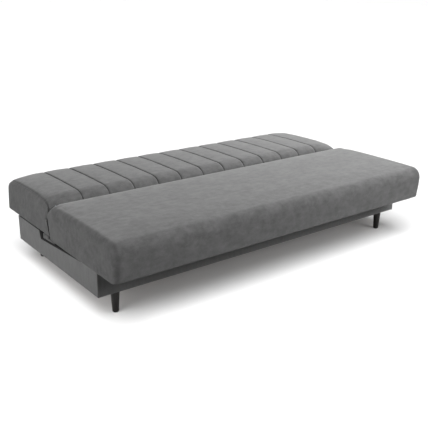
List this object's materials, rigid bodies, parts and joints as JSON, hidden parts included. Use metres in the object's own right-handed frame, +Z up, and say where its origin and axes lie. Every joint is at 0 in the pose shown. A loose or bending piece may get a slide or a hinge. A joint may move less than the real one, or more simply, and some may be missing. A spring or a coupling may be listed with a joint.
{
  "type": "sofa bed",
  "caption": "Click-clack sofa bed lying flat: smooth padded seat and channelled back hinged over an upholstered bedding box on tapered legs.",
  "frame": {"origin": "on the floor, under the middle of the bed's bounding box", "axes": "+X along the sofa, +Y from the seat's front to the back, +Z up"},
  "size_m": [1.92, 1.0921, 0.4041],
  "materials": {
    "velvet": "brushed velvet upholstery",
    "box_fabric": "woven upholstery fabric",
    "foam": "polyurethane foam and wadding",
    "felt": "needled felt",
    "webbing": "elastic webbing",
    "dust_cloth": "spunbond dust cloth",
    "timber": "planed softwood",
    "board": "particle board",
    "fibreboard": "hardboard",
    "leg_black": "black stained beech",
    "steel_black": "black powder coat",
    "steel": "zinc plated",
    "rubber": "moulded rubber",
    "glide": "moulded polyethylene"
  },
  "bodies": {
    "base": {"base_side_left": "board", "base_side_right": "board", "base_side_cover_left": "box_fabric", "base_side_cover_right": "box_fabric", "base_front_panel": "board", "base_rear_panel": "board", "base_front_cover": "box_fabric", "base_rear_cover": "box_fabric", "base_floor": "fibreboard", "base_floor_battens": "timber", "base_corner_blocks": "timber", "panel_screws": "steel", "front_left_leg": "leg_black", "front_right_leg": "leg_black", "rear_left_leg": "leg_black", "rear_right_leg": "leg_black", "foot_glides": "glide", "leg_studs": "steel", "leg_inserts": "steel", "hinge_bracket_left": "steel_black", "hinge_bracket_right": "steel_black", "pivot_pin_left": "steel", "pivot_pin_right": "steel", "pin_clips": "steel", "bracket_bolts": "steel", "seat_bumpers": "rubber", "back_bumpers": "rubber"},
    "seat": {"seat_cover": "velvet", "seat_foam": "foam", "seat_felt": "felt", "seat_webbing": "webbing", "seat_front_rail": "timber", "seat_rear_rail": "timber", "seat_left_rail": "timber", "seat_right_rail": "timber", "seat_cross_slats": "timber", "seat_rear_ledge": "velvet", "seat_dust_cover": "dust_cloth", "seat_hinge_leaf_left": "steel_black", "seat_hinge_leaf_right": "steel_black", "seat_leaf_screws": "steel"},
    "back": {"back_cover": "velvet", "back_foam": "foam", "back_felt": "felt", "back_webbing": "webbing", "back_front_rail": "timber", "back_rear_rail": "timber", "back_left_rail": "timber", "back_right_rail": "timber", "back_cross_slats": "timber", "back_dust_cover": "dust_cloth", "back_hinge_leaf_left": "steel_black", "back_hinge_leaf_right": "steel_black", "back_leaf_screws": "steel"}
  },
  "joints": [
    {"name": "back_fold", "type": "hinge", "parent": "base", "child": "back", "pos_m": [0, 0.072, 0.366], "axis": [1, 0, 0], "range_deg": [0, 68]},
    {"name": "seat_lift", "type": "hinge", "parent": "base", "child": "seat", "pos_m": [0, 0.072, 0.366], "axis": [-1, 0, 0], "range_deg": [0, 30]}
  ]
}
